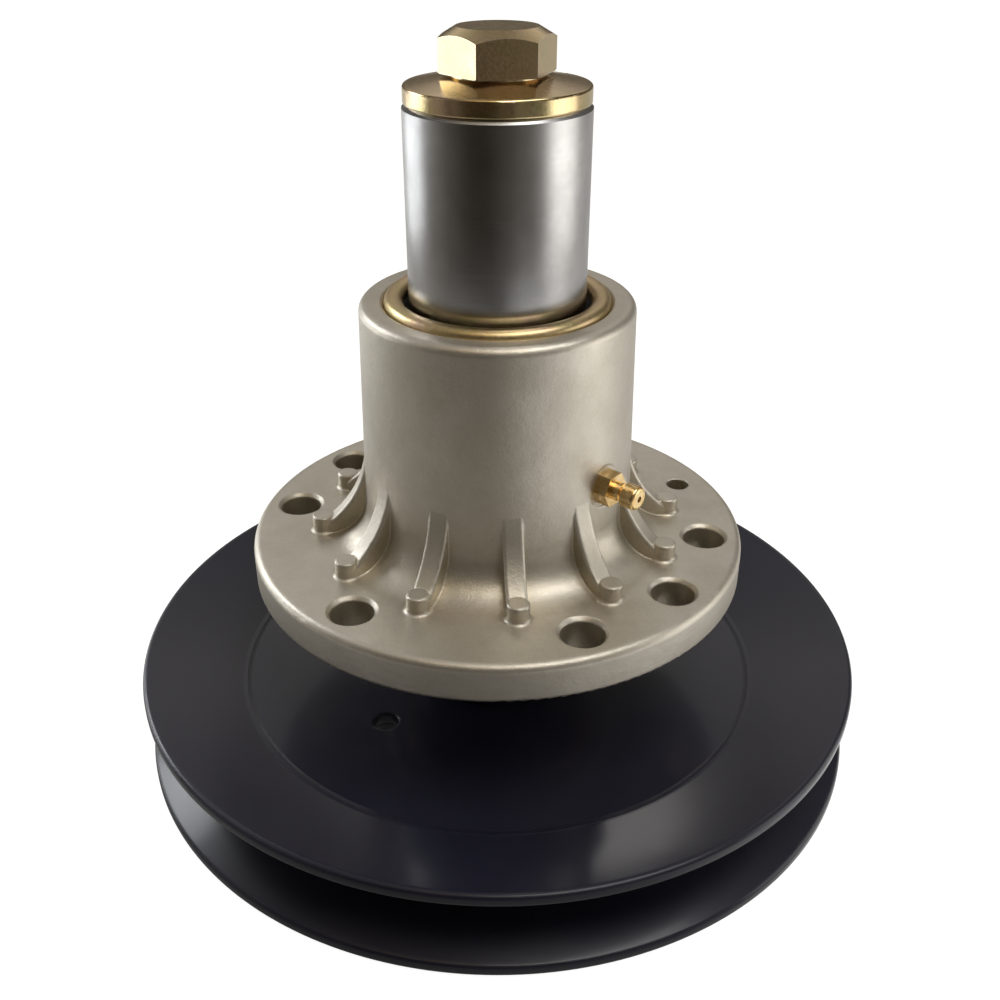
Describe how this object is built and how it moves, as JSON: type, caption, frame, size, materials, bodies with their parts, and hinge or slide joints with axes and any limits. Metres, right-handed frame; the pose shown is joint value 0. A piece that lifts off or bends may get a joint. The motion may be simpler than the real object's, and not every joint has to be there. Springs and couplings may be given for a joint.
{
  "type": "mower deck spindle",
  "caption": "Mower deck spindle with a ribbed cast flange housing, greased tapered roller bearings, a blade bolt end and a pressed steel V-belt pulley that turns with the shaft.",
  "frame": {"origin": "on the spindle axis in the plane of the pulley's lower rim, on which the part stands", "axes": "+Z along the spindle axis toward the blade end, -Y toward the side the picture was taken from"},
  "size_m": [0.2016, 0.2016, 0.1898],
  "materials": {
    "cast_aluminium": "matt cast and bead-blasted",
    "fitting_brass": "turned, bright",
    "bearing_steel": "ground",
    "spring_steel": "drawn wire",
    "cage_steel": "pressed sheet",
    "yellow_zinc": "yellow zinc plated",
    "seal_rubber": "moulded, matt",
    "turned_steel": "turned",
    "polished_steel": "polished on the outside",
    "black_paint": "satin gloss black paint"
  },
  "bodies": {
    "housing": {"spindle_housing": "cast_aluminium", "grease_fitting": "fitting_brass", "grease_fitting_spring": "spring_steel", "blade_side_bearing_cup": "bearing_steel", "blade_side_seal_case": "yellow_zinc", "blade_side_seal_lip": "seal_rubber", "pulley_side_bearing_cup": "bearing_steel", "pulley_side_seal_case": "yellow_zinc", "pulley_side_seal_lip": "seal_rubber"},
    "rotor": {"spindle_shaft": "turned_steel", "inner_spacer_tube": "turned_steel", "blade_side_bearing_cone": "bearing_steel", "pulley_side_bearing_cone": "bearing_steel", "blade_spacer": "polished_steel", "blade_washer": "yellow_zinc", "blade_bolt": "yellow_zinc", "pulley_side_spacer": "polished_steel", "pulley_upper_half": "black_paint", "pulley_lower_half": "black_paint", "pulley_hub": "black_paint", "hub_weld_bead": "black_paint", "pulley_key": "turned_steel", "pulley_nut_washer": "yellow_zinc", "pulley_nut": "yellow_zinc"},
    "blade_side_roller_set": {"blade_side_rollers": "bearing_steel", "blade_side_roller_cage": "cage_steel"},
    "pulley_side_roller_set": {"pulley_side_rollers": "bearing_steel", "pulley_side_roller_cage": "cage_steel"},
    "check_ball": {"grease_fitting_ball": "bearing_steel"}
  },
  "joints": [
    {"name": "spindle_spin", "type": "hinge", "parent": "housing", "child": "rotor", "pos_m": [0, 0, 0.085], "axis": [0, 0, 1], "continuous": true},
    {"name": "blade_side_roller_orbit", "type": "hinge", "parent": "housing", "child": "blade_side_roller_set", "pos_m": [0, 0, 0.1096], "axis": [0, 0, 1], "continuous": true},
    {"name": "pulley_side_roller_orbit", "type": "hinge", "parent": "housing", "child": "pulley_side_roller_set", "pos_m": [0, 0, 0.0609], "axis": [0, 0, 1], "continuous": true},
    {"name": "check_ball_lift", "type": "slide", "parent": "housing", "child": "check_ball", "axis": [-0.7513, 0.66, 0], "range_m": [0, 0.0008], "stiffness_N_per_m": 100, "springref_m": -0.001, "deforming": ["grease_fitting_spring"]}
  ],
  "couplings": [
    {"joint": "blade_side_roller_orbit", "follows": "spindle_spin", "ratio": 0.4198},
    {"joint": "pulley_side_roller_orbit", "follows": "spindle_spin", "ratio": 0.4198}
  ]
}
